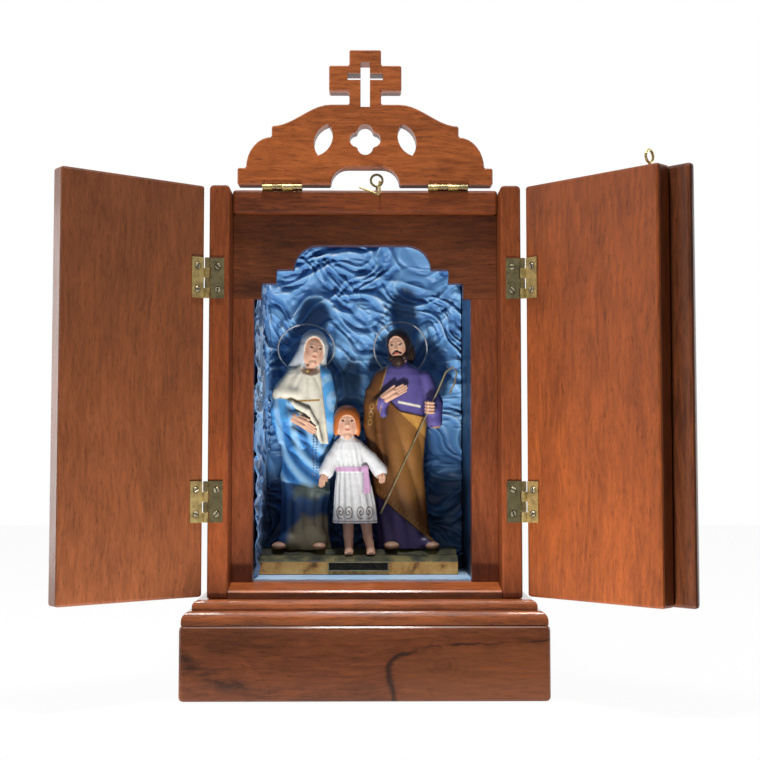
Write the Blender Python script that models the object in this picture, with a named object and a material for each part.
"""Wooden travelling oratory shrine with two doors, a folding crest and a figure group in a lined niche.

Frame: metres, +Z up, the front faces -Y, the origin is the centre of the plinth's underside.
"""
import bpy
import bmesh
import math
from mathutils import Matrix, Vector

MM = 0.001
GAP = 0.3 * MM

# Plinth and base cap
PLINTH_W = 336.0 * MM
PLINTH_D = 200.0 * MM
PLINTH_H = 68.0 * MM
PLINTH_WALL = 18.0 * MM
PLINTH_BOTTOM_T = 8.0 * MM
PLINTH_ROUND = 4.0 * MM
CAP_H = 22.0 * MM
CAP_EDGE_INSET = 1.8 * MM
CAP_FILLET_H = 4.0 * MM
CAP_STEP_OUT = 12.0 * MM
CAP_STEP_H = 4.2 * MM
CAP_LEDGE = 0.8 * MM
CAP_NOSE_W = 7.0 * MM
CAP_NOSE_H = 5.3 * MM

# Cabinet
CAB_W = 291.0 * MM
CAB_H = 384.5 * MM
SIDE_T = 19.0 * MM
BACK_T = 8.0 * MM
TOP_T = 22.0 * MM
TOP_RECESS = 23.0 * MM
FRAME_RECESS = 34.0 * MM
FRAME_T = 14.0 * MM
BOARD_ROUND = 1.6 * MM
SIDE_TOP_ROUND = 4.0 * MM

# Niche window: its middle, half widths of the stepped arch, the heights of its steps, and the rail above it
NICHE_X = -2.5 * MM
WINDOW_HALF = 104.0 * MM
ARCH_HALF_1 = 96.6 * MM
ARCH_HALF_2 = 82.7 * MM
ARCH_HALF_3 = 65.7 * MM
ARCH_FLAT_HALF = 42.1 * MM
ARCH_STEP_1 = 14.8 * MM
ARCH_STEP_2 = 13.3 * MM
ARCH_RISE = 23.4 * MM
ARCH_RAIL_H = 28.8 * MM
SILL_FRONT_H = 7.5 * MM
SILL_BACK_H = 12.0 * MM
FLOOR_BOARD_H = 10.7 * MM

# Satin lining
LINING_T = 2.0 * MM
LINING_SET = 0.4 * MM
FLOOR_LINING_T = 3.0 * MM
DRAPE_BACK_T = 3.0 * MM
DRAPE_FOLD = 11.0 * MM
DRAPE_PITCH = 27.0 * MM
DRAPE_COLUMNS = 26
DRAPE_ROWS = 34

# Doors
DOOR_T = 18.0 * MM
DOOR_ROUND = 2.5 * MM
DOOR_FOOT_CLEAR = 2.0 * MM
DOOR_HEAD_CLEAR = 1.2 * MM
DOOR_MEET_GAP = 1.5 * MM
DOOR_MEET_X = -1.5 * MM
LEFT_DOOR_ANGLE = 142.5
RIGHT_DOOR_ANGLE = 134.0
ASTRAGAL_W = 40.0 * MM
ASTRAGAL_T = 8.0 * MM
ASTRAGAL_ROUND = 3.0 * MM
ASTRAGAL_GAP = 0.5 * MM

# Butt hinges
HINGE_LENGTH = 38.0 * MM
HINGE_LEAF = 15.5 * MM
HINGE_LEAF_T = 1.2 * MM
BARREL_R = 2.4 * MM
PIN_R = 1.2 * MM
PIN_PLAY = 0.35 * MM
KNUCKLES = 4
BARREL_OUT = 1.2 * MM
DOOR_HINGE_LOW = 89.0 * MM
DOOR_HINGE_HIGH = 296.5 * MM
CREST_HINGE_IN = 42.8 * MM

# Crest: half widths and heights above its own underside
CREST_T = 19.0 * MM
CREST_ROUND = 1.2 * MM
CREST_FOOT_HALF = 121.9 * MM
CREST_FOOT_H = 15.9 * MM
CREST_ROUND_HALF = 113.8 * MM
CREST_EAR_HALF = 89.4 * MM
CREST_EAR_H = 45.9 * MM
CREST_STEP_H = 56.5 * MM
CREST_CROWN_HALF = 32.8 * MM
CREST_CROWN_H = 77.5 * MM
CROSS_STEM_HALF = 15.2 * MM
CROSS_ARM_HALF = 34.7 * MM
CROSS_ARM_LOW = 90.6 * MM
CROSS_ARM_HIGH = 115.4 * MM
CROSS_TOP = 130.6 * MM
SLOT_HALF = 4.5 * MM
SLOT_LOW = 75.1 * MM
SLOT_HIGH = 118.8 * MM
SLOT_ARM_HALF = 17.0 * MM
SLOT_ARM_LOW = 101.3 * MM
SLOT_ARM_HIGH = 108.1 * MM
CUTOUT_HALF = 32.8 * MM
CUTOUT_FLAT_HALF = 16.5 * MM
CUTOUT_H = 17.0 * MM
PIERCE_H = 43.5 * MM
PIERCE_X = 40.0 * MM
QUATREFOIL_R = 15.0 * MM
LANCET_H = 33.0 * MM
LANCET_HALF = 8.5 * MM

# Hook and screw eyes
EYE_R = 5.6 * MM
EYE_WIRE_R = 1.2 * MM
EYE_SHANK = 9.0 * MM
EYE_PLAY = 0.35 * MM
HOOK_X = 11.0 * MM
HOOK_EYE_Y = 6.0 * MM
HOOK_EYE_H = 10.5 * MM
HOOK_LOOP_R = 3.6 * MM
HOOK_SEAT = 30.0
HOOK_WIRE_R = 1.2 * MM
HOOK_LENGTH = 26.5 * MM
HOOK_TIP = 21.0 * MM
HOOK_DROOP = 31.0
HOOK_TIP_RISE = 20.0
DOOR_EYE_IN = 14.5 * MM
DOOR_EYE_H = 8.6 * MM

# Figure group
BASE_LEFT = -105.9 * MM
BASE_RIGHT = 92.0 * MM
BASE_BACK_CLEAR = 8.0 * MM
BASE_D = 58.0 * MM
BASE_FRONT_H = 13.0 * MM
TERRACE_LOW = 17.6 * MM
TERRACE_HIGH = 22.5 * MM
NAMEPLATE_W = 60.0 * MM
NAMEPLATE_H = 9.0 * MM
NAMEPLATE_T = 1.0 * MM
NAMEPLATE_X = -6.5 * MM
NAMEPLATE_UP = 3.2 * MM
MARY_X = -58.0 * MM
JOSEPH_X = 35.0 * MM
CHILD_X = -12.0 * MM
ADULT_IN = 40.0 * MM
CHILD_IN = 21.0 * MM
ADULT_H = 225.0 * MM
CHILD_H = 151.0 * MM
MARY_HALO_R = 29.3 * MM
MARY_HALO_SQUASH = 0.86
JOSEPH_HALO_R = 27.6 * MM
HALO_WIRE_R = 0.7 * MM
HALO_BEHIND = 16.5 * MM
STAFF_R = 0.9 * MM
STAFF_PLAY = 0.4 * MM

# Heights and planes that follow from the sizes above
CAB_SETBACK = (PLINTH_W - CAB_W) / 2
BACK_Y = PLINTH_D / 2
FRONT_Y = -PLINTH_D / 2 + CAB_SETBACK
CAP_TOP = PLINTH_H + CAP_H
CAB_TOP = CAP_TOP + CAB_H
TOP_Y = FRONT_Y + TOP_RECESS
FRAME_Y = FRONT_Y + FRAME_RECESS
FRAME_BACK_Y = FRAME_Y + FRAME_T
PANEL_Y = BACK_Y - BACK_T
INNER_HALF = CAB_W / 2 - SIDE_T
TOP_UNDER = CAB_TOP - TOP_T
SILL_TOP = CAP_TOP + SILL_BACK_H
ARCH_Z = TOP_UNDER - GAP - ARCH_RAIL_H - ARCH_RISE - ARCH_STEP_2 - ARCH_STEP_1
FLOOR_Z = CAP_TOP + GAP + FLOOR_BOARD_H + GAP + FLOOR_LINING_T
HINGE_HALF_GAP = BARREL_R + GAP
LEFT_DOOR_W = CAB_W / 2 + DOOR_MEET_X - DOOR_MEET_GAP / 2
RIGHT_DOOR_W = CAB_W / 2 - DOOR_MEET_X - DOOR_MEET_GAP / 2
DOOR_LOW = CAP_TOP + DOOR_FOOT_CLEAR
DOOR_HIGH = CAB_TOP - DOOR_HEAD_CLEAR
CREST_AXIS_Z = CAB_TOP + HINGE_HALF_GAP
CREST_LOW = HINGE_HALF_GAP
DRAPE_Y = PANEL_Y - GAP
BASE_Y = DRAPE_Y - DRAPE_BACK_T - DRAPE_FOLD - BASE_BACK_CLEAR - BASE_D
BASE_Z = FLOOR_Z + GAP
ADULT_UNIT = ADULT_H / 225
CHILD_UNIT = CHILD_H / 151

WOOD_RED = (0.30, 0.090, 0.028)
WOOD_DARK = (0.15, 0.042, 0.016)
BRASS = (0.70, 0.56, 0.28)
SATIN = (0.14, 0.32, 0.62)


def clear_scene():
    """Remove whatever the file holds."""
    for obj in list(bpy.data.objects):
        bpy.data.objects.remove(obj, do_unlink=True)


def material(name, colour, roughness, metallic=0.0):
    """Return a plain Principled material, made once for each name."""
    mat = bpy.data.materials.get(name)
    if mat is None:
        mat = bpy.data.materials.new(name)
        mat.use_nodes = True
        shader = mat.node_tree.nodes["Principled BSDF"]
        shader.inputs["Base Color"].default_value = (*colour, 1.0)
        shader.inputs["Roughness"].default_value = roughness
        shader.inputs["Metallic"].default_value = metallic
    return mat


def wood(name="mahogany"):
    return material(name, WOOD_DARK if name == "dark_mahogany" else WOOD_RED, 0.35)


def brass():
    return material("brass", BRASS, 0.28, 1.0)


def satin():
    return material("blue_satin", SATIN, 0.4)


def from_bmesh(name, bm, mat, smooth=False):
    """Turn a bmesh into a named object with its faces pointing out."""
    bmesh.ops.recalc_face_normals(bm, faces=bm.faces)
    mesh = bpy.data.meshes.new(name)
    bm.to_mesh(mesh)
    bm.free()
    if smooth:
        mesh.shade_smooth()
        mesh.set_sharp_from_angle(angle=math.radians(40))
    obj = bpy.data.objects.new(name, mesh)
    obj.data.materials.append(mat)
    bpy.context.collection.objects.link(obj)
    return obj


def bake(obj):
    """Replace an object's mesh by its evaluated one and drop the modifiers."""
    bpy.context.view_layer.update()
    depsgraph = bpy.context.evaluated_depsgraph_get()
    mesh = bpy.data.meshes.new_from_object(obj.evaluated_get(depsgraph))
    obj.modifiers.clear()
    obj.data = mesh


def combine(obj, other, operation):
    """Union or cut an object with another one, which is then removed."""
    mod = obj.modifiers.new("combine", 'BOOLEAN')
    mod.operation = operation
    mod.solver = 'EXACT'
    mod.object = other
    bake(obj)
    bpy.data.objects.remove(other, do_unlink=True)
    return obj


def unite(name, pieces):
    """Join overlapping solids into one body."""
    body = pieces[0]
    for piece in pieces[1:]:
        combine(body, piece, 'UNION')
    body.name = name
    return body


def rounded(obj, width, segments=2):
    """Round an object's edges with a bevel."""
    mod = obj.modifiers.new("round", 'BEVEL')
    mod.width = width
    mod.segments = segments
    mod.limit_method = 'ANGLE'
    mod.angle_limit = math.radians(40)
    return obj


def box(name, low, high, mat):
    """Make a box between two corners."""
    bm = bmesh.new()
    bmesh.ops.create_cube(bm, size=1.0)
    size = Vector(high) - Vector(low)
    middle = (Vector(high) + Vector(low)) / 2
    place = Matrix.Translation(middle) @ Matrix.Diagonal((*size, 1.0))
    bmesh.ops.transform(bm, matrix=place, verts=bm.verts)
    return from_bmesh(name, bm, mat)


def prism(name, outline, start, end, place, mat, smooth=False):
    """Extrude an outline of (u, v) points; place(u, v, w) gives each point's position."""
    bm = bmesh.new()
    near = [bm.verts.new(place(u, v, start)) for u, v in outline]
    far = [bm.verts.new(place(u, v, end)) for u, v in outline]
    bm.faces.new(near)
    bm.faces.new(reversed(far))
    count = len(outline)
    for i in range(count):
        j = (i + 1) % count
        bm.faces.new((near[i], far[i], far[j], near[j]))
    return from_bmesh(name, bm, mat, smooth)


def facing(u, v, w):
    """Place an outline seen from the front: u is X, v is Z, and w is depth."""
    return (u, w, v)


def upright(u, v, w):
    """Place an outline seen from above: u is X, v is Y, and w is height."""
    return (u, v, w)


def loft(name, rings, mat, smooth=True):
    """Skin a closed body over rings of equal point counts."""
    bm = bmesh.new()
    rows = [[bm.verts.new(point) for point in ring] for ring in rings]
    count = len(rows[0])
    for low, high in zip(rows, rows[1:]):
        for i in range(count):
            j = (i + 1) % count
            bm.faces.new((low[i], low[j], high[j], high[i]))
    bm.faces.new(reversed(rows[0]))
    bm.faces.new(rows[-1])
    return from_bmesh(name, bm, mat, smooth)


def sweep(name, points, radii, mat, sides=8):
    """Skin a round body along a path of points, with a radius at each point."""
    points = [Vector(p) for p in points]
    rings = []
    side = None
    for i, point in enumerate(points):
        ahead = points[min(i + 1, len(points) - 1)] - points[max(i - 1, 0)]
        ahead.normalize()
        if side is None:
            side = ahead.orthogonal().normalized()
        side = (side - ahead * side.dot(ahead)).normalized()
        other = ahead.cross(side)
        angles = [2 * math.pi * k / sides for k in range(sides)]
        rings.append([point + (side * math.cos(a) + other * math.sin(a)) * radii[i] for a in angles])
    return loft(name, rings, mat)


def ball(name, centre, radii, mat, segments=14, rows=9):
    """Make an ellipsoid."""
    bm = bmesh.new()
    bmesh.ops.create_uvsphere(bm, u_segments=segments, v_segments=rows, radius=1.0)
    place = Matrix.Translation(Vector(centre)) @ Matrix.Diagonal((*radii, 1.0))
    bmesh.ops.transform(bm, matrix=place, verts=bm.verts)
    return from_bmesh(name, bm, mat, True)


def ring(name, centre, axis, radius, wire, mat, around=20, sides=8, squash=1.0):
    """Make a wire ring about an axis, round or squashed."""
    turn = Vector(axis).to_track_quat('Z', 'Y')
    bm = bmesh.new()
    loops = []
    for i in range(around):
        a = 2 * math.pi * i / around
        out = Vector((math.cos(a), math.sin(a), 0))
        loop = []
        for k in range(sides):
            b = 2 * math.pi * k / sides
            reach = out * wire * math.cos(b) + Vector((0, 0, wire * math.sin(b)))
            point = Vector((out.x, out.y * squash, 0)) * radius + reach
            loop.append(bm.verts.new(Vector(centre) + turn @ point))
        loops.append(loop)
    for i in range(around):
        a, b = loops[i], loops[(i + 1) % around]
        for k in range(sides):
            m = (k + 1) % sides
            bm.faces.new((a[k], b[k], b[m], a[m]))
    return from_bmesh(name, bm, mat, True)


def arc(centre, radius_u, radius_v, start, end, steps):
    """Return points on an elliptic arc, in degrees."""
    points = []
    for i in range(steps + 1):
        a = math.radians(start + (end - start) * i / steps)
        points.append((centre[0] + radius_u * math.cos(a), centre[1] + radius_v * math.sin(a)))
    return points


def mirrored(right_half):
    """Complete an outline from its right half, which runs from the bottom to the top."""
    return right_half + [(-u, v) for u, v in reversed(right_half)]


def axis_empty(name, location, rotation):
    """Add an empty on a joint's axis for the moving pieces to hang on."""
    empty = bpy.data.objects.new(name, None)
    empty.location = location
    empty.rotation_euler = rotation
    bpy.context.collection.objects.link(empty)
    return empty


def placed(obj, matrix):
    """Move a piece's mesh, turning its faces back out when the move mirrors it."""
    obj.data.transform(matrix)
    if matrix.determinant() < 0:
        obj.data.flip_normals()
    return obj


def hang(obj, empty):
    """Parent a piece that was modelled about a joint's axis to that axis."""
    obj.parent = empty
    return obj


def make_plinth():
    """Four boards round a bottom panel."""
    half_w = PLINTH_W / 2
    half_d = PLINTH_D / 2
    for name, y_low in (("plinth_front", -half_d), ("plinth_back", half_d - PLINTH_WALL)):
        board = box(name, (-half_w, y_low, 0), (half_w, y_low + PLINTH_WALL, PLINTH_H), wood())
        rounded(board, PLINTH_ROUND if name == "plinth_front" else BOARD_ROUND, 3)
    inner_d = half_d - PLINTH_WALL - GAP
    for name, x_low in (("plinth_left", -half_w), ("plinth_right", half_w - PLINTH_WALL)):
        board = box(name, (x_low, -inner_d, 0), (x_low + PLINTH_WALL, inner_d, PLINTH_H), wood())
        rounded(board, BOARD_ROUND)
    inner_w = half_w - PLINTH_WALL - GAP
    box("plinth_bottom", (-inner_w, -inner_d, 0), (inner_w, inner_d, PLINTH_BOTTOM_T), wood())


def make_base_cap():
    """A board whose front and side edges carry a stepped ogee moulding."""
    foot = CAB_SETBACK - CAP_EDGE_INSET
    rise = CAP_H - CAP_FILLET_H - CAP_STEP_H - CAP_NOSE_H
    ovolo_top = CAP_FILLET_H + rise
    nose_low = ovolo_top + CAP_STEP_H
    ledge_out = CAP_STEP_OUT + CAP_LEDGE
    profile = [(foot, GAP)]
    profile += arc((ledge_out, CAP_FILLET_H), foot - ledge_out, rise, 0, 90, 6)
    profile += [(CAP_STEP_OUT, ovolo_top)]
    profile += arc((CAP_STEP_OUT - CAP_NOSE_W, nose_low), CAP_NOSE_W, CAP_NOSE_H, 0, 90, 5)
    rings = []
    for out, up in profile:
        half = CAB_W / 2 + out
        front = FRONT_Y - out
        z = PLINTH_H + up
        rings.append([(-half, front, z), (half, front, z), (half, BACK_Y, z), (-half, BACK_Y, z)])
    loft("base_cap", rings, wood(), False)


def make_cabinet():
    """Side boards, top board, back panel, floor board and sill."""
    low = CAP_TOP + GAP
    for name, sign in (("side_board_left", -1), ("side_board_right", 1)):
        outer = sign * CAB_W / 2
        inner = sign * INNER_HALF
        u_low, u_high = min(outer, inner), max(outer, inner)
        r = SIDE_TOP_ROUND
        outline = [(u_low, low), (u_high, low)]
        outline += arc((u_high - r, CAB_TOP - r), r, r, 0, 90, 4)
        outline += arc((u_low + r, CAB_TOP - r), r, r, 90, 180, 4)
        rounded(prism(name, outline, FRONT_Y, BACK_Y, facing, wood()), BOARD_ROUND)
    half = INNER_HALF - GAP
    top = box("top_board", (-half, TOP_Y, TOP_UNDER), (half, BACK_Y, CAB_TOP), wood())
    bake(rounded(top, BOARD_ROUND * 1.5))
    cut_eye_hole(top, (HOOK_X, TOP_Y + HOOK_EYE_Y, CAB_TOP))
    box("back_panel", (-half, PANEL_Y, low), (half, BACK_Y, TOP_UNDER - GAP), wood("dark_mahogany"))
    floor_front = FRAME_BACK_Y + GAP
    box("floor_board", (-half, floor_front, low), (half, PANEL_Y - GAP, low + FLOOR_BOARD_H), wood())
    profile = [(FRONT_Y, low), (FRAME_BACK_Y, low), (FRAME_BACK_Y, SILL_TOP), (FRAME_Y, SILL_TOP),
               (FRONT_Y + BOARD_ROUND, CAP_TOP + SILL_FRONT_H),
               (FRONT_Y, CAP_TOP + SILL_FRONT_H - BOARD_ROUND)]
    prism("sill", profile, -half, half, lambda u, v, w: (w, u, v), wood())


def make_front_frame():
    """The stepped arch rail and the two stiles under it."""
    half = INNER_HALF - GAP
    inside = [(WINDOW_HALF, ARCH_Z), (ARCH_HALF_1, ARCH_Z), (ARCH_HALF_1, ARCH_Z + ARCH_STEP_1)]
    step_z = ARCH_Z + ARCH_STEP_1 + ARCH_STEP_2
    inside += [(ARCH_HALF_2, ARCH_Z + ARCH_STEP_1), (ARCH_HALF_2, step_z), (ARCH_HALF_3, step_z)]
    inside += arc((ARCH_FLAT_HALF, step_z), ARCH_HALF_3 - ARCH_FLAT_HALF, ARCH_RISE, 0, 90, 8)[1:]
    outline = [(half, TOP_UNDER - GAP), (half, ARCH_Z)]
    outline += [(NICHE_X + u, v) for u, v in inside]
    outline += [(NICHE_X - u, v) for u, v in reversed(inside)]
    outline += [(-half, ARCH_Z), (-half, TOP_UNDER - GAP)]
    prism("arch_rail", outline, FRAME_Y, FRAME_BACK_Y, facing, wood())
    for name, sign in (("stile_left", -1), ("stile_right", 1)):
        edges = sorted((sign * half, NICHE_X + sign * WINDOW_HALF))
        low = (edges[0], FRAME_Y, SILL_TOP + GAP)
        high = (edges[1], FRAME_BACK_Y, ARCH_Z - GAP)
        box(name, low, high, wood())


def drape_depth(x, z):
    """Depth of the gathered satin in front of its backing: crossed wavy folds, flat at the hem."""
    sway = math.sin(x / DRAPE_PITCH * 1.3 + 2.0 * math.sin(z / DRAPE_PITCH * 0.45))
    across = math.sin(2 * math.pi * z / DRAPE_PITCH + 2.2 * sway)
    slant = math.sin(2 * math.pi * (x * 0.62 + z * 0.35) / DRAPE_PITCH + 1.7 * math.sin(z / DRAPE_PITCH))
    return DRAPE_FOLD * (0.5 + 0.30 * across + 0.20 * slant)


def make_lining():
    """Satin on the niche's walls and floor, and the gathered satin at its back."""
    half = INNER_HALF - GAP
    front = FRAME_BACK_Y + GAP
    side_back = DRAPE_Y
    low = CAP_TOP + GAP + FLOOR_BOARD_H + GAP
    under = TOP_UNDER - GAP
    box("lining_floor", (-half, front, low), (half, side_back, low + FLOOR_LINING_T), satin())
    wall_low = FLOOR_Z + GAP
    wall_high = under - LINING_T - GAP
    box("lining_top", (-half, front, under - LINING_T), (half, side_back, under), satin())
    wall = WINDOW_HALF + LINING_SET
    for name, sign in (("lining_left", -1), ("lining_right", 1)):
        edges = sorted((NICHE_X + sign * wall, NICHE_X + sign * (wall + LINING_T)))
        box(name, (edges[0], front, wall_low), (edges[1], side_back, wall_high), satin())
    make_drape(wall - GAP, wall_low, wall_high)


def make_drape(half, low, high):
    """A closed sheet with the gathered satin's main folds on its front."""
    bm = bmesh.new()
    front = []
    for i in range(DRAPE_ROWS + 1):
        z = low + (high - low) * i / DRAPE_ROWS
        row = []
        for j in range(DRAPE_COLUMNS + 1):
            x = NICHE_X - half + 2 * half * j / DRAPE_COLUMNS
            y = DRAPE_Y - DRAPE_BACK_T - drape_depth(x, z)
            row.append(bm.verts.new((x, y, z)))
        front.append(row)
    for low_row, high_row in zip(front, front[1:]):
        for j in range(DRAPE_COLUMNS):
            bm.faces.new((low_row[j], low_row[j + 1], high_row[j + 1], high_row[j]))
    rim = front[0] + [row[-1] for row in front[1:]] + front[-1][-2::-1] + [row[0] for row in front[-2:0:-1]]
    back = [bm.verts.new((v.co.x, DRAPE_Y, v.co.z)) for v in rim]
    for i in range(len(rim)):
        j = (i + 1) % len(rim)
        bm.faces.new((rim[i], back[i], back[j], rim[j]))
    bm.faces.new(back)
    from_bmesh("lining_back", bm, satin(), True)


def hinge_leaf(name, knuckle_indices, mat):
    """A leaf about its barrel's axis, local Z, with the plate along +X and its wood side at +Y."""
    step = HINGE_LENGTH / KNUCKLES
    bridge = BARREL_R + 2 * GAP
    edge_y = BARREL_R - HINGE_LEAF_T
    half = HINGE_LENGTH / 2
    pieces = [box(name, (bridge, edge_y, -half), (HINGE_LEAF, BARREL_R, half), mat)]
    start = math.degrees(math.asin(edge_y / BARREL_R))
    outline = arc((0, 0), BARREL_R, BARREL_R, 90, 360 + start, 12)
    outline += [(bridge + 4 * GAP, edge_y), (bridge + 4 * GAP, BARREL_R)]
    for k in knuckle_indices:
        low = -half + k * step + GAP / 2
        pieces.append(prism("knuckle", outline, low, low + step - GAP, upright, mat))
    leaf = unite(name, pieces)
    circle = arc((0, 0), PIN_R + PIN_PLAY, PIN_R + PIN_PLAY, 0, 330, 11)
    return combine(leaf, prism("bore", circle, -half * 1.2, half * 1.2, upright, mat), 'DIFFERENCE')


def hinge(name, fixed_place, moving_place, pin_place, empty):
    """A butt hinge: fixed leaf, moving leaf on the joint's empty, and pin."""
    placed(hinge_leaf(name + "_fixed_leaf", range(1, KNUCKLES, 2), brass()), fixed_place)
    moving = hinge_leaf(name + "_moving_leaf", range(0, KNUCKLES, 2), brass())
    hang(placed(moving, moving_place), empty)
    half = HINGE_LENGTH / 2
    pin = prism(name + "_pin", arc((0, 0), PIN_R, PIN_R, 0, 330, 11), -half, half, upright, brass(), True)
    placed(pin, pin_place)


def cut_eye_hole(board, mouth):
    """Bore the pilot hole that a screw eye's shank sits in."""
    r = EYE_WIRE_R + EYE_PLAY
    circle = arc((mouth[0], mouth[1]), r, r, 0, 324, 9)
    cutter = prism("hole", circle, mouth[2] - EYE_SHANK - GAP, mouth[2] + EYE_SHANK, upright, brass())
    combine(board, cutter, 'DIFFERENCE')


def screw_eye(name, mouth, height, axis):
    """A wire ring on a shank that sits in its board's pilot hole."""
    centre = Vector(mouth) + Vector((0, 0, height))
    loop = ring("loop", centre, axis, EYE_R, EYE_WIRE_R, brass())
    ends = [Vector(mouth) - Vector((0, 0, EYE_SHANK)), centre - Vector((0, 0, EYE_R))]
    shank = sweep("shank", ends, [EYE_WIRE_R] * 2, brass(), 10)
    return unite(name, [loop, shank])


def make_doors():
    """Two boards on hinges at the cabinet's sides, with a cover strip on the right one."""
    axis_x = CAB_W / 2 + BARREL_OUT
    axis_y = FRONT_Y - HINGE_HALF_GAP
    doors = (("left", -1, LEFT_DOOR_ANGLE, LEFT_DOOR_W), ("right", 1, RIGHT_DOOR_ANGLE, RIGHT_DOOR_W))
    for side, sign, opened, width in doors:
        turn = (0, 0, math.radians(sign * opened))
        empty = axis_empty(side + "_door_axis", (sign * axis_x, axis_y, 0), turn)
        edges = sorted((-sign * BARREL_OUT, -sign * (BARREL_OUT + width)))
        inner_y = -HINGE_HALF_GAP
        low = (edges[0], inner_y - DOOR_T, DOOR_LOW)
        high = (edges[1], inner_y, DOOR_HIGH)
        door = box(side + "_door", low, high, wood())
        bake(rounded(door, DOOR_ROUND))
        flip = Matrix.Identity(4) if sign < 0 else Matrix.Rotation(math.pi, 4, 'Z')
        mirror_y = Matrix.Diagonal((1, -1, 1, 1))
        for level, up in (("upper", DOOR_HINGE_HIGH), ("lower", DOOR_HINGE_LOW)):
            height = Matrix.Translation((0, 0, CAP_TOP + up))
            on_axis = Matrix.Translation((sign * axis_x, axis_y, 0)) @ height
            inward = flip if sign < 0 else flip @ mirror_y
            outward = flip @ mirror_y if sign < 0 else flip
            hinge(side + "_door_" + level + "_hinge", on_axis @ inward, height @ outward, on_axis, empty)
        if sign > 0:
            dress_right_door(door, empty, inner_y)
        hang(door, empty)


def dress_right_door(door, empty, inner_y):
    """The cover strip over the joint between the doors, and the eye on the door's top edge."""
    free_x = -(BARREL_OUT + RIGHT_DOOR_W)
    outer_y = inner_y - DOOR_T - ASTRAGAL_GAP
    low = (free_x - ASTRAGAL_W / 2, outer_y - ASTRAGAL_T, DOOR_LOW)
    high = (free_x + ASTRAGAL_W / 2, outer_y, DOOR_HIGH)
    hang(rounded(box("astragal", low, high, wood()), ASTRAGAL_ROUND), empty)
    mouth = (free_x + DOOR_EYE_IN, inner_y - DOOR_T / 2, DOOR_HIGH)
    cut_eye_hole(door, mouth)
    hang(screw_eye("door_eye", mouth, DOOR_EYE_H, (1, 0, 0)), empty)


def crest_outline():
    """The crest's outline about its joint axis: feet, rounds, steps, ogee shoulders and a cross."""
    base = CREST_LOW
    half = [(CUTOUT_HALF, base), (CREST_FOOT_HALF, base), (CREST_FOOT_HALF, base + CREST_FOOT_H)]
    half += arc((CREST_EAR_HALF, base + CREST_FOOT_H), CREST_ROUND_HALF - CREST_EAR_HALF,
                CREST_EAR_H - CREST_FOOT_H, 0, 90, 8)
    steps = 10
    for i in range(steps + 1):
        t = i / steps
        ease = (1 - math.cos(math.pi * t)) / 2
        u = CREST_EAR_HALF + (CREST_CROWN_HALF - CREST_EAR_HALF) * t
        half.append((u, base + CREST_STEP_H + (CREST_CROWN_H - CREST_STEP_H) * ease))
    half += [(CROSS_STEM_HALF, base + CREST_CROWN_H), (CROSS_STEM_HALF, base + CROSS_ARM_LOW),
             (CROSS_ARM_HALF, base + CROSS_ARM_LOW), (CROSS_ARM_HALF, base + CROSS_ARM_HIGH),
             (CROSS_STEM_HALF, base + CROSS_ARM_HIGH), (CROSS_STEM_HALF, base + CROSS_TOP)]
    cutout = arc((CUTOUT_FLAT_HALF, base), CUTOUT_HALF - CUTOUT_FLAT_HALF, CUTOUT_H, 90, 0, 8)[:-1]
    return mirrored(cutout + half)


def quatrefoil(centre, radius):
    """Four round lobes about a centre."""
    points = []
    lobe = radius * 0.5
    for k in range(4):
        a = 90 * k
        mid = (centre[0] + lobe * math.cos(math.radians(a)), centre[1] + lobe * math.sin(math.radians(a)))
        points += arc(mid, lobe, lobe, a - 82, a + 82, 8)
    return points


def lancet(centre, half_width, height, lean):
    """A pointed almond, leaning by an angle in degrees."""
    bulge = (height * height / 4 + half_width * half_width) / (2 * half_width)
    reach = math.degrees(math.asin(height / 2 / bulge))
    points = arc((half_width - bulge, 0), bulge, bulge, -reach, reach, 8)
    points += arc((bulge - half_width, 0), bulge, bulge, 180 - reach, 180 + reach, 8)[1:-1]
    turn = math.radians(lean)
    return [(centre[0] + u * math.cos(turn) - v * math.sin(turn),
             centre[1] + u * math.sin(turn) + v * math.cos(turn)) for u, v in points]


def pierced_cross():
    """The outline of the cross-shaped slot."""
    base = CREST_LOW
    half = [(SLOT_HALF, base + SLOT_LOW), (SLOT_HALF, base + SLOT_ARM_LOW),
            (SLOT_ARM_HALF, base + SLOT_ARM_LOW), (SLOT_ARM_HALF, base + SLOT_ARM_HIGH),
            (SLOT_HALF, base + SLOT_ARM_HIGH), (SLOT_HALF, base + SLOT_HIGH)]
    return mirrored(half)


def make_crest():
    """The folding crest with its piercings, on two hinges at the top board's front edge."""
    axis = (0, TOP_Y - BARREL_OUT, CREST_AXIS_Z)
    empty = axis_empty("crest_axis", axis, (0, 0, 0))
    front = BARREL_OUT
    crest = prism("crest", crest_outline(), front, front + CREST_T, facing, wood())
    bake(rounded(crest, CREST_ROUND, 1))
    height = CREST_LOW + PIERCE_H
    cuts = [pierced_cross(), quatrefoil((0, height), QUATREFOIL_R)]
    for sign in (-1, 1):
        cuts.append(lancet((sign * PIERCE_X, height), LANCET_HALF, LANCET_H, sign * 18))
    for outline in cuts:
        cutter = prism("piercing", outline, 0, front + 2 * CREST_T, facing, wood())
        combine(crest, cutter, 'DIFFERENCE')
    hang(crest, empty)
    along_x = Matrix.Rotation(math.pi / 2, 4, 'Y')
    toward_back = Matrix(((0, 0, 1, 0), (1, 0, 0, 0), (0, 1, 0, 0), (0, 0, 0, 1)))
    below = Matrix.Diagonal((1, 1, -1, 1)) @ toward_back
    for side, sign in (("left", -1), ("right", 1)):
        out = Matrix.Translation((sign * (CREST_FOOT_HALF - CREST_HINGE_IN), 0, 0))
        on_axis = Matrix.Translation(axis) @ out
        hinge("crest_" + side + "_hinge", on_axis @ below, out @ toward_back, on_axis @ along_x, empty)


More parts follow.
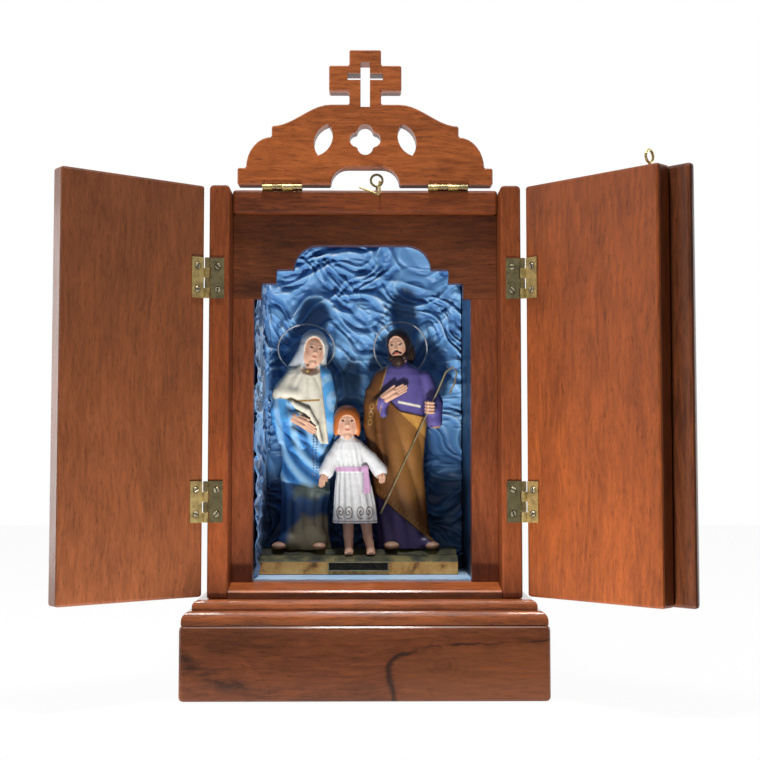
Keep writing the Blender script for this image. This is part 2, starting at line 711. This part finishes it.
def make_hook():
    """A screw eye on the top board and the wire hook that swings in it."""
    mouth = (HOOK_X, TOP_Y + HOOK_EYE_Y, CAB_TOP)
    screw_eye("hook_eye", mouth, HOOK_EYE_H, (0, 1, 0))
    seat = math.radians(HOOK_SEAT)
    pivot = Vector(mouth) + Vector((EYE_R * math.sin(seat), 0, HOOK_EYE_H - EYE_R * math.cos(seat)))
    empty = axis_empty("hook_axis", pivot, (0, 0, 0))
    droop = math.radians(HOOK_DROOP)
    ahead = Vector((0, -math.cos(droop), -math.sin(droop)))
    rise = math.radians(HOOK_TIP_RISE)
    tip_way = Vector((-math.cos(rise), 0, math.sin(rise)))
    bend = ahead * HOOK_LENGTH
    points = [ahead * HOOK_LOOP_R, ahead * (HOOK_LENGTH - 3 * HOOK_WIRE_R), bend + tip_way * HOOK_WIRE_R,
              bend + tip_way * 4 * HOOK_WIRE_R, bend + tip_way * HOOK_TIP]
    radii = [HOOK_WIRE_R] * 4 + [HOOK_WIRE_R * 0.6]
    wire = sweep("wire", points, radii, brass(), 8)
    loop = ring("loop", (0, 0, 0), (1, 0, 0), HOOK_LOOP_R, HOOK_WIRE_R, brass(), 14, 8)
    hang(unite("hook", [loop, wire]), empty)


def terrace_profile():
    """The ground's side view: front face, a low terrace, and a higher one behind it."""
    depth = BASE_D
    return [(0, 0), (depth, 0), (depth, TERRACE_HIGH), (depth * 0.53, TERRACE_HIGH),
            (depth * 0.44, TERRACE_LOW), (depth * 0.17, TERRACE_LOW), (depth * 0.02, BASE_FRONT_H),
            (0, BASE_FRONT_H - 1.0 * MM)]


def make_base():
    """The figure group's ground, and the bare plate on its front."""
    def place(u, v, w):
        return (w, BASE_Y + u, BASE_Z + v)
    clay = material("ground", (0.10, 0.075, 0.035), 0.6)
    prism("statue_base", terrace_profile(), BASE_LEFT, BASE_RIGHT, place, clay)
    half = NAMEPLATE_W / 2
    front = BASE_Y - GAP
    low = (NAMEPLATE_X - half, front - NAMEPLATE_T, BASE_Z + NAMEPLATE_UP)
    high = (NAMEPLATE_X + half, front, BASE_Z + NAMEPLATE_UP + NAMEPLATE_H)
    box("nameplate", low, high, material("dark_plate", (0.02, 0.018, 0.015), 0.35))


def robe(name, place, sections, fold_top, folds, depth, mat, points=26):
    """A robe skinned over (height, x, half width, half depth) sections, with folds at its foot."""
    rings = []
    for up, x, half_w, half_d in sections:
        slack = depth * max(0.0, 1.0 - up / fold_top)
        loop = []
        for k in range(points):
            a = 2 * math.pi * k / points
            swell = 1.0 + slack * math.cos(folds * a)
            loop.append(place(x + half_w * swell * math.cos(a), half_d * swell * math.sin(a), up))
        rings.append(loop)
    return loft(name, rings, mat)


def figure_place(x, y, ground, unit):
    """Return a function from a figure's own units to the frame."""
    def place(u, v, w):
        return (x + u * unit, y + v * unit, ground + w * unit)
    return place


def adult_place(x):
    """Stand an adult on the upper terrace."""
    return figure_place(x, BASE_Y + ADULT_IN, BASE_Z + TERRACE_HIGH + GAP, ADULT_UNIT)


def limb(name, place, points, radii, unit, mat):
    return sweep(name, [place(*p) for p in points], [r * unit for r in radii], mat, 10)


def lump(name, place, centre, radii, unit, mat):
    return ball(name, place(*centre), [r * unit for r in radii], mat)


def make_mary():
    """The veiled woman: robe and mantle, veiled head, folded arm and feet."""
    mat = material("blue_plaster", (0.16, 0.40, 0.75), 0.4)
    place = adult_place(MARY_X)
    sections = [(0, 1, 23, 14), (30, 0, 24, 15), (65, -2, 25, 15.5), (95, -2, 27, 16.5),
                (122, -1, 29.5, 17), (150, 0, 30.5, 16), (170, 1, 26.5, 14), (184, 2, 20, 11.5),
                (192, 4, 10, 8), (198, 4, 7, 7)]
    pieces = [robe("mary_figure", place, sections, 140, 9, 0.055, mat)]
    pieces.append(lump("head", place, (5, -2, 207), (13.5, 13, 18), ADULT_UNIT, mat))
    pieces.append(lump("veil", place, (2, 4, 196), (17, 10, 22), ADULT_UNIT, mat))
    arm = [(-27, -3, 150), (-22, -13, 133), (-1, -18, 125)]
    pieces.append(limb("arm", place, arm, [8, 8, 5], ADULT_UNIT, mat))
    for x in (-28, 12):
        pieces.append(lump("foot", place, (x, -12, 3.5), (7, 9, 3.5), ADULT_UNIT, mat))
    pieces.append(lump("train", place, (-20, -4, 9), (13, 11, 9), ADULT_UNIT, mat))
    unite("mary_figure", pieces)


def joseph_hand(place):
    return place(31, -17, 143)


def staff_points(hand):
    """The staff's line through the hand, and the wire crook at its head."""
    lean = Vector((0.425, 0.032, 0.905))
    hand = Vector(hand)
    points = [hand + lean * along * ADULT_UNIT for along in (-118, -60, 0, 20)]
    crook = [(16, 36), (23, 41), (27, 36), (25, 25), (20, 14)]
    points += [hand + Vector((u, -0.8, v)) * ADULT_UNIT for u, v in crook]
    return points


def make_joseph():
    """The bearded man: tunic and mantle, head, hand on the chest, and a hand round a thin staff."""
    mat = material("brown_plaster", (0.30, 0.15, 0.06), 0.4)
    place = adult_place(JOSEPH_X)
    sections = [(0, 4, 26, 15), (40, 1, 25, 15), (80, -3, 27, 16), (110, -3, 30, 16.5),
                (135, 1, 33, 16.5), (160, 2, 31, 15.5), (176, 1, 28, 13.5), (186, 1, 21, 11.5),
                (193, 0, 9, 8.5), (199, 0, 7, 7)]
    pieces = [robe("joseph_figure", place, sections, 140, 8, 0.05, mat)]
    pieces.append(lump("head", place, (1, -3, 209), (12, 13, 18), ADULT_UNIT, mat))
    pieces.append(lump("hair", place, (2, 3, 202), (13, 9.5, 18), ADULT_UNIT, mat))
    pieces.append(lump("beard", place, (-1, -11, 197), (8, 6, 9), ADULT_UNIT, mat))
    arm = [(-29, -3, 152), (-25, -12, 142), (-3, -18, 157)]
    sleeve = [(31, -1, 160), (36, -7, 143), (32, -13, 134)]
    pieces.append(limb("arm", place, arm, [8, 7.5, 4.5], ADULT_UNIT, mat))
    pieces.append(limb("sleeve", place, sleeve, [8, 9, 7], ADULT_UNIT, mat))
    pieces.append(ball("fist", joseph_hand(place), [6 * ADULT_UNIT, 6.5 * ADULT_UNIT, 7 * ADULT_UNIT], mat))
    for x in (-9, 27):
        pieces.append(lump("foot", place, (x, -9, 3.5), (8, 11, 3.5), ADULT_UNIT, mat))
    joseph = unite("joseph_figure", pieces)
    points = staff_points(joseph_hand(place))
    room = sweep("room", points[:4], [STAFF_R + STAFF_PLAY] * 4, mat, 8)
    combine(joseph, room, 'DIFFERENCE')
    sweep("staff", points, [STAFF_R] * len(points), brass(), 8)


def make_child():
    """The child: a short robe with spread arms, head and bare legs."""
    mat = material("white_plaster", (0.80, 0.78, 0.72), 0.4)
    place = figure_place(CHILD_X, BASE_Y + CHILD_IN, BASE_Z + TERRACE_LOW + GAP, CHILD_UNIT)
    sections = [(31, 2, 22, 13.5), (58, 0, 19, 12.5), (84, -1, 16, 11), (100, -3, 17, 11.5),
                (111, -4, 14.5, 10), (118, -5, 8, 7), (124, -6, 6, 6)]
    pieces = [robe("child_figure", place, sections, 94, 8, 0.05, mat)]
    pieces.append(lump("head", place, (-6, -1, 133.5), (14.3, 14.3, 17.5), CHILD_UNIT, mat))
    for arm in ([(-14, 0, 107), (-24, -3, 92), (-30, -6, 76)], [(7, 0, 107), (20, -3, 93), (28, -6, 80)]):
        pieces.append(limb("arm", place, arm, [6.5, 6.5, 4.5], CHILD_UNIT, mat))
    for x, lean in ((-5, 1), (13, 5)):
        leg = [(x, 0, 40), (x + lean * 0.4, 0, 16), (x + lean, -1, 3)]
        pieces.append(limb("leg", place, leg, [6.5, 5, 4.2], CHILD_UNIT, mat))
        pieces.append(lump("foot", place, (x + lean, -6, 3.3), (5, 9, 3.3), CHILD_UNIT, mat))
    unite("child_figure", pieces)


def make_halo(name, x, lean, head, nape, radius, squash):
    """A wire ring behind a head, on a stem from the head's back."""
    metal = material("silver_wire", (0.75, 0.74, 0.72), 0.2, 1.0)
    place = adult_place(x)
    behind = HALO_BEHIND / ADULT_UNIT
    up = 205.5
    top = radius * squash / ADULT_UNIT
    loop = ring(name, place(lean, behind, up), (0, 1, 0), radius, HALO_WIRE_R, metal, 36, 6, squash)
    spoke = [place(lean, behind, up + top), place(lean, behind, up + 0.7 * top),
             place(head, nape, up + 1), place(head, nape, up - 2)]
    stem = sweep("stem", spoke, [HALO_WIRE_R] * len(spoke), metal, 6)
    unite(name, [loop, stem])


def make_halos():
    make_halo("mary_halo", MARY_X, -3, 5, 14.1, MARY_HALO_R, MARY_HALO_SQUASH)
    make_halo("joseph_halo", JOSEPH_X, 2, 1, 13.4, JOSEPH_HALO_R, 1.0)


def main():
    clear_scene()
    make_plinth()
    make_base_cap()
    make_cabinet()
    make_front_frame()
    make_lining()
    make_doors()
    make_crest()
    make_hook()
    make_base()
    make_mary()
    make_joseph()
    make_child()
    make_halos()


main()
